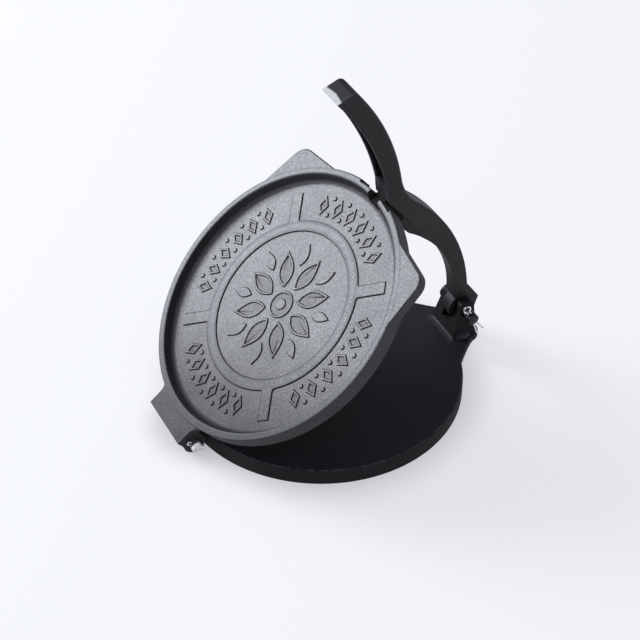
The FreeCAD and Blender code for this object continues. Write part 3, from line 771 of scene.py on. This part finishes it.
class PRESS_OT_base_trim(bpy.types.Operator):
    """Adds the thick cast seam round the fork's foot and the flare where the tongue meets the disc"""

    bl_idname = "press.base_trim"
    bl_label = "Base trim"

    def seam(self, sizes, trim, colour):
        """The uneven seam, which hugs the fork's foot and sinks into it at the top."""
        # The seam's iron is a lighter copy of the base iron: a painted highlight, as on a lit fillet
        iron = seasoned_iron("Seam iron with painted highlight", toned(colour, 2.4), 0.3 * MM, 0.5, 0.4, 500.0)
        front, back = trim.fork_front + trim.seam_front, trim.fork_front + trim.seam_back
        half = trim.fork_half
        corners = ((front, -half), (back, -half), (back, half), (front, half))
        # Inset and height over the disc, in mm
        profile = ((-3.3, -0.1), (-3.0, 1.0), (-2.0, 2.3), (-0.4, 3.4), (0.8, 3.7))
        swell = [(amount * MM, sizes.plate_height + rise * MM) for amount, rise in profile]
        bm = bmesh.new()
        stepped(bm, rounded_corners(corners, trim.seam_corner), swell, Matrix.Identity(4))
        bead = link_piece("fork_foot_bead", bm, iron, "base")
        ruffle(bead, trim.seam_wave, trim.seam_wave_length)

    def flare(self, sizes, trim):
        """The two hollow corners beside the tongue, thin as the tongue is."""
        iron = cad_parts["base_plate"].data.materials[0]
        under, top = trim.flare_under, sizes.plate_height
        rise = (
            (0.4 * MM, under),
            (0, under + 0.4 * MM),
            (0, top - 1.4 * MM),
            (0.4 * MM, top - 0.4 * MM),
            (1.4 * MM, top - 0.02 * MM),
        )
        root = math.sqrt(sizes.plate_radius ** 2 - trim.flare_root ** 2) - 0.5 * MM
        end, steps = trim.fork_front + trim.flare_end, 12
        corner = [Vector((end, trim.tongue_half))]
        for k in range(1, steps + 1):
            share = k / steps
            side = trim.tongue_half + (trim.flare_root - trim.tongue_half) * share ** trim.flare_bend
            corner.append(Vector((end + (root - end) * share, side)))
        # The last three corners are out of sight, inside the disc and the tongue
        sunk, hidden_half = root - 4 * MM, 9 * MM
        corner.append(Vector((sunk, trim.flare_root - 3 * MM)))
        corner.append(Vector((sunk, hidden_half)))
        corner.append(Vector((end - 1 * MM, hidden_half)))
        bm = bmesh.new()
        for mirror in (1, -1):
            outline = [Vector((x, y * mirror)) for x, y in corner]
            stepped(bm, outline[::mirror], rise, Matrix.Identity(4), closed=True)
        link_piece("tongue_flare", bm, iron, "base")

    def execute(self, context):
        sizes = context.scene.press_casting
        trim = context.scene.press_trim
        self.seam(sizes, trim, context.scene.press_colours.base_iron)
        self.flare(sizes, trim)
        return {"FINISHED"}


class PRESS_OT_lid_finish(bpy.types.Operator):
    """Finishes the lid casting: a sandy cast skin, painted shade along the raised lines, on the sides and
    towards the hinge, and painted highlights on the edges
    """

    bl_idname = "press.lid_finish"
    bl_label = "Lid finish"

    def execute(self, context):
        sizes = context.scene.press_casting
        floor = sizes.floor_height
        inner, outer = sizes.ring_inner, sizes.ring_outer
        colour = tuple(context.scene.press_colours.lid_iron)
        lid_up = tuple(lid_matrix(sizes).to_3x3() @ Vector((0, 0, 1)))
        shade_line = (0.15 * MM, 0.95 * MM)
        highlight_line = (0.2 * MM, 0.8 * MM)

        def marks(paint):
            along, across, up = closed_axes(paint, sizes)
            reach = along.length_with(across)
            inside = 1 - reach.between(sizes.spoke_reach - 1 * MM, sizes.spoke_reach + 1 * MM)
            slope = up.band(*(floor + rise * MM for rise in (0.05, 0.2, 0.5, 0.7))) * inside

            # Painted shade in the corners along the ring and the spokes, and on the relief's slopes
            turn = sizes.relief_turn + math.pi / 4
            u = (along * math.cos(turn) + across * math.sin(turn)).size()
            w = (across * math.cos(turn) - along * math.sin(turn)).size()
            half = sizes.spoke_width / 2
            far = reach.between(outer - 0.4 * MM, outer + 0.6 * MM)
            spokes = sum(way.near(half, *shade_line) for way in (u, w)) * far
            beside = (half - 0.4 * MM, half + 0.6 * MM)
            clear = u.between(*beside) * w.between(*beside)
            rings = [reach.near(edge, *shade_line) for edge in (inner, outer)]
            corner_shade = ((rings[0] + rings[1] * clear + spokes) * inside * 0.8).held()

            # Painted shade on the sides, painted highlights on the rim's two edges, painted shade on the
            # recess wall
            side = 1 - paint.facing(lid_up).between(0.35, 0.93)
            top = up.between(floor + sizes.crest_rise - 0.7 * MM, floor + sizes.crest_rise)
            crest = top * sum(reach.near(edge, *highlight_line) for edge in (sizes.rim_inner, sizes.rim_outer))
            wall = reach.near(sizes.recess_wall, 0.5 * MM, 1.6 * MM)
            wall = wall * up.between(floor + 1 * MM, floor + 3 * MM)

            # Painted highlights on the ring's edges, and painted shade that darkens the iron towards the
            # hinge
            ring_edges = (inner + 1.4 * MM, outer - 1.4 * MM)
            lit = sum(reach.near(edge, *highlight_line) for edge in ring_edges)
            raised_top = up.between(floor + 0.6 * MM, floor + 0.72 * MM)
            bright = toned(colour, 2.6)
            hinge_shade = 1 - (along * 0.85 + across * 0.4).between(-115 * MM, 0.0)
            return (
                (hinge_shade * 0.95, toned(colour, 0.2)),
                ((side * 0.85).held(), toned(colour, 0.18)),
                ((crest * 0.5).held(), bright),
                ((lit * raised_top * inside * 0.6).held(), bright),
                # No colour: a dull, dark coat of painted shade
                ((corner_shade * 0.85 + slope * 0.85 + wall * 0.5).held() * 0.85, None),
            )

        dress("top_plate", seasoned_iron("Lid iron", colour, 0.25 * MM, 0.4, 0.75, 720.0, marks))
        soften("top_plate")
        return {"FINISHED"}


class PRESS_OT_lever_finish(bpy.types.Operator):
    """Finishes the lever casting, with painted highlights along its edges and a ground facet at its tip"""

    bl_idname = "press.lever_finish"
    bl_label = "Lever finish"

    def execute(self, context):
        colours = context.scene.press_colours
        colour = tuple(colours.lever_iron)
        tip_x, tip_z = 5.4 * MM, 241.5 * MM
        tip_way = (-0.37, 0, 0.93)

        def marks(paint):
            x, y, z = paint.axes(paint.place())
            wide = y.size()
            reach = (x - tip_x).length_with(z - tip_z) + wide * 0.14
            broken = paint.noise(420.0).between(0.1, 0.4)
            near_tip = 1 - reach.between(4.2 * MM, 5.6 * MM)
            facet = paint.facing(tip_way).between(0.45, 0.8)
            grip = z.between(158 * MM, 172 * MM)
            # Painted highlights along the arm's and the grip's edges, broken up in patches
            arm_edge = wide.between(4.0 * MM, 4.9 * MM) * (1 - grip)
            grip_edge = wide.between(8.4 * MM, 9.7 * MM) * grip
            outward = 1 - paint.facing((0, 1, 0)).size().between(0.55, 0.95)
            highlighted = paint.noise(160.0).between(0.3, 0.6)
            return (
                (((arm_edge + grip_edge) * outward * highlighted * 0.55).held(), toned(colour, 3.2)),
                ((near_tip * facet * broken).held(), tuple(colours.bare_iron)),
            )

        iron = seasoned_iron("Lever iron", colour, 0.12 * MM, 0.46, 0.26, 1100.0, marks)
        dress("press_lever", iron)
        soften("press_lever")
        return {"FINISHED"}


class PRESS_OT_lever_nose(bpy.types.Operator):
    """Adds the lever's nose, darkened as painted shade, which stands in the lid's notch and clears it as the
    lid swings
    """

    bl_idname = "press.lever_nose"
    bl_label = "Lever nose"

    def execute(self, context):
        sizes = context.scene.press_casting
        trim = context.scene.press_trim
        steps = 8
        swing = trim.nose_high - trim.nose_low
        front = [(trim.nose_reach, trim.nose_low + swing * k / steps) for k in range(steps + 1)]
        # The back of the nose lies inside the lever: mm from the hinge axis, degrees about it
        inside_lever = ((207, 42.7), (213, 42.4), (213, 39.5), (208.5, 35.6))
        back = [(away * MM, math.radians(turn)) for away, turn in inside_lever]
        outline = [
            Vector((away * math.cos(turn) - sizes.hinge_out, away * math.sin(turn) + sizes.hinge_height))
            for away, turn in front + back
        ]
        half, edge = trim.nose_half, trim.nose_edge
        sides = ((edge, -half), (0, edge - half), (0, half - edge), (edge, half))
        upright = Matrix(((1, 0, 0, 0), (0, 0, -1, 0), (0, 1, 0, 0), (0, 0, 0, 1)))
        # The nose is a darker copy of the lever iron: painted shade in the notch
        colour = toned(context.scene.press_colours.lever_iron, 0.3)
        iron = seasoned_iron("Shaded nose iron", colour, 0.12 * MM, 0.6, 0.1, 1100.0)
        bm = bmesh.new()
        stepped(bm, outline[::-1], sides, upright, closed=True)
        link_piece("lever_nose", bm, iron, "lever")
        return {"FINISHED"}


class PRESS_OT_pin_finish(bpy.types.Operator):
    """Finishes the bright hinge pin, the dark lever pin and the split pins in plated wire"""

    bl_idname = "press.pin_finish"
    bl_label = "Pin finish"

    def execute(self, context):
        colours = context.scene.press_colours
        stretch, squeeze = 0.2, 6.0
        for name, nodes, colour, rough, lines in (
            ("Pin steel", ("hinge_pin",), colours.pin_steel, 0.3, 2600.0),
            # The lever pin is a dark steel
            ("Dark pin", ("lever_pin",), colours.dark_steel, 0.5, 2600.0),
            ("Wire steel", ("hinge_cotter", "lever_cotter"), colours.wire_steel, 0.24, 4200.0),
        ):
            paint = Paint(name)
            x, y, z = paint.axes(paint.place())
            turned = {"X": x * stretch, "Y": y * squeeze, "Z": z * stretch}
            around = paint.node("ShaderNodeCombineXYZ", None, turned)
            rings = paint.noise(lines / squeeze, vector=around)
            stain = paint.noise(240.0, detail=3.0)
            material = paint.finish(
                Base_Color=paint.blend(stain.between(0.35, 0.75), tuple(colour), toned(colour, 0.55)),
                Metallic=1.0,
                Roughness=(rings * 0.18 + stain * 0.12 + (rough - 0.12)).held(),
                Normal=paint.bump(rings, 0.02 * MM),
            )
            for node in nodes:
                dress(node, material)
                soften(node, 40.0)
        return {"FINISHED"}


# Lid ornament


class PRESS_OT_lid_ornament(bpy.types.Operator):
    """Raises a plain rosette and a band of lozenges in the lid's recess"""

    bl_idname = "press.lid_ornament"
    bl_label = "Lid ornament"

    def rosette(self, pattern, rest, turn, framed, solid):
        """Long framed petals, leaves between them, and a ringed button in the middle."""
        bm = bmesh.new()
        length = pattern.rosette_radius - pattern.petal_start
        petal = petal_outline(pattern.petal_start, length, pattern.petal_width)
        leaf = petal_outline(pattern.leaf_start, pattern.leaf_length, pattern.leaf_width)
        for i in range(pattern.petals):
            for outline, steps, place in ((petal, framed, i), (leaf, solid, i + 0.5)):
                at = rest @ Matrix.Rotation(math.tau * place / pattern.petals + turn, 4, "Z")
                stepped(bm, outline, steps, at)
        stepped(bm, round_outline(pattern.eye_radius, 40), framed, rest)
        stepped(bm, round_outline(pattern.button_radius, 24), solid, rest)
        return bm

    def lozenge_band(self, pattern, rest, turn, framed, solid):
        """Framed lozenges in four panels, with two dots in each gap."""
        bm = bmesh.new()
        step, band = pattern.lozenge_step, pattern.band_radius
        tall, wide = pattern.lozenge_tall, pattern.lozenge_wide
        lozenge = [Vector(p) for p in ((tall, 0), (0, wide), (-tall, 0), (0, -wide))]
        dot = round_outline(pattern.dot_radius, 18)
        for panel in range(4):
            middle = math.pi / 2 * panel + turn
            for i in range(pattern.lozenges):
                angle = middle + step * (i - (pattern.lozenges - 1) / 2)
                at = rest @ Matrix.Rotation(angle, 4, "Z") @ Matrix.Translation((band, 0, 0))
                stepped(bm, lozenge, framed, at)
                if i:
                    gap = rest @ Matrix.Rotation(angle - step / 2, 4, "Z")
                    for out in (-pattern.dot_inside, pattern.dot_outside):
                        stepped(bm, dot, solid, gap @ Matrix.Translation((band + out, 0, 0)))
        return bm

    def execute(self, context):
        sizes = context.scene.press_casting
        pattern = context.scene.press_ornament
        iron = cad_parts["top_plate"].data.materials[0]
        low = sizes.floor_height - 0.15 * MM
        high = sizes.floor_height + pattern.relief
        sunk = sizes.floor_height + 0.1 * MM
        framed = ((0, low), (0.75 * MM, high), (1.75 * MM, high), (2.4 * MM, sunk))
        solid = ((0, low), (0.8 * MM, high))
        layout = (pattern, lid_matrix(sizes), sizes.relief_turn, framed, solid)
        link_piece("lid_rosette", self.rosette(*layout), iron, "lid")
        link_piece("lid_lozenges", self.lozenge_band(*layout), iron, "lid")
        return {"FINISHED"}


# Studio


class PRESS_OT_studio(bpy.types.Operator):
    """Sets up the pale floor, the soft lights and the camera"""

    bl_idname = "press.studio"
    bl_label = "Studio"

    def lay_floor(self, scene):
        """A pale floor that glows a little, with a painted contact shadow that dims the glow close to the
        press.
        """
        studio = scene.press_studio
        casting = scene.press_casting
        bm = bmesh.new()
        bmesh.ops.create_grid(bm, x_segments=1, y_segments=1, size=studio.floor_reach)
        mesh = bpy.data.meshes.new("floor")
        bm.to_mesh(mesh)
        bm.free()
        floor = bpy.data.objects.new("floor", mesh)
        scene.collection.objects.link(floor)
        paint = Paint("Pale floor")
        x, y = paint.axes(paint.place())[:2]
        under_base = (x.length_with(y), casting.plate_radius - 6 * MM, 46 * MM)
        under_hinge = ((x + casting.hinge_out).length_with(y * 0.7), 10 * MM, 30 * MM)
        # Painted contact shadow: the floor's glow dims close to the base and the hinge
        shadow_free = 1.0  # How little of the sky the press hides from the floor
        for reach, start, width in (under_base, under_hinge):
            shut = 1 - reach.between(start, start + width)
            shadow_free = (1 - shut * shut * studio.contact_shade) * shadow_free
        mesh.materials.append(
            paint.finish(
                Base_Color=(*toned(studio.floor, studio.floor_share), 1.0),
                Roughness=0.75,
                Specular_IOR_Level=0.2,
                Emission_Color=paint.blend(shadow_free, (0.0, 0.0, 0.0), tuple(studio.floor)),
                Emission_Strength=studio.floor_glow,
            )
        )

    def light(self, scene):
        """Pale surroundings, a key light behind the press and a weak fill in front."""
        studio = scene.press_studio
        world = bpy.data.worlds.new("Pale surroundings")
        world.use_nodes = True
        backdrop = world.node_tree.nodes["Background"]
        backdrop.inputs["Color"].default_value = (*studio.sky, 1.0)
        backdrop.inputs["Strength"].default_value = studio.sky_strength
        scene.world = world
        scene.view_settings.view_transform = "Standard"

        for name, way, distance, size, power in (
            ("Key light", studio.key_way, studio.key_distance, studio.key_size, studio.key_power),
            ("Fill light", studio.fill_way, studio.fill_distance, studio.fill_size, studio.fill_power),
        ):
            lamp = bpy.data.lights.new(name, "AREA")
            lamp.energy = power
            lamp.color = studio.lamp
            lamp.shape = "DISK"
            lamp.size = size
            holder = bpy.data.objects.new(name, lamp)
            scene.collection.objects.link(holder)
            out = Vector(way).normalized()
            holder.location = out * distance + Vector((0, 0, studio.aim_height))
            holder.rotation_mode = "QUATERNION"
            holder.rotation_quaternion = out.to_track_quat("Z", "Y")

    def place_camera(self, scene):
        """The camera at the photograph's viewing angle."""
        studio = scene.press_studio
        lens = bpy.data.cameras.new("Camera")
        lens.lens = studio.lens
        lens.sensor_width = 36.0
        lens.sensor_fit = "HORIZONTAL"
        lens.clip_start = 50 * MM
        camera = bpy.data.objects.new("Camera", lens)
        scene.collection.objects.link(camera)
        back = Vector(studio.look_back).normalized()
        up = Vector(studio.look_up)
        up = (up - back * up.dot(back)).normalized()
        turned = Matrix((up.cross(back), up, back)).transposed().to_4x4()
        camera.matrix_world = Matrix.Translation(studio.eye) @ turned
        scene.camera = camera

    def execute(self, context):
        self.lay_floor(context.scene)
        self.light(context.scene)
        self.place_camera(context.scene)
        return {"FINISHED"}


# Panel and registration


STEPS = (
    PRESS_OT_base_finish,
    PRESS_OT_base_trim,
    PRESS_OT_lid_finish,
    PRESS_OT_lever_finish,
    PRESS_OT_lever_nose,
    PRESS_OT_pin_finish,
    PRESS_OT_lid_ornament,
    PRESS_OT_studio,
)

GROUPS = (
    ("press_casting", PressCastingSizes),
    ("press_trim", PressTrimSizes),
    ("press_ornament", PressOrnamentSizes),
    ("press_colours", PressIronColours),
    ("press_studio", PressStudio),
)


class PRESS_PT_panel(bpy.types.Panel):
    """Lists the sizes, the colours and the steps"""

    bl_idname = "PRESS_PT_panel"
    bl_label = "Tortilla press"
    bl_space_type = "VIEW_3D"
    bl_region_type = "UI"
    bl_category = "Press"

    def draw(self, context):
        layout = self.layout
        for name, group in GROUPS:
            box = layout.box()
            for key in group.__annotations__:
                box.prop(getattr(context.scene, name), key)
        for step in STEPS:
            layout.operator(step.bl_idname)


def register():
    for name, group in GROUPS:
        bpy.utils.register_class(group)
        setattr(bpy.types.Scene, name, PointerProperty(type=group))
    for step in STEPS:
        bpy.utils.register_class(step)
    bpy.utils.register_class(PRESS_PT_panel)


def unregister():
    bpy.utils.unregister_class(PRESS_PT_panel)
    for step in reversed(STEPS):
        bpy.utils.unregister_class(step)
    for name, group in reversed(GROUPS):
        delattr(bpy.types.Scene, name)
        bpy.utils.unregister_class(group)


def main():
    register()
    for step in STEPS:
        family, action = step.bl_idname.split(".")
        getattr(getattr(bpy.ops, family), action)()


if __name__ == "__main__":
    main()
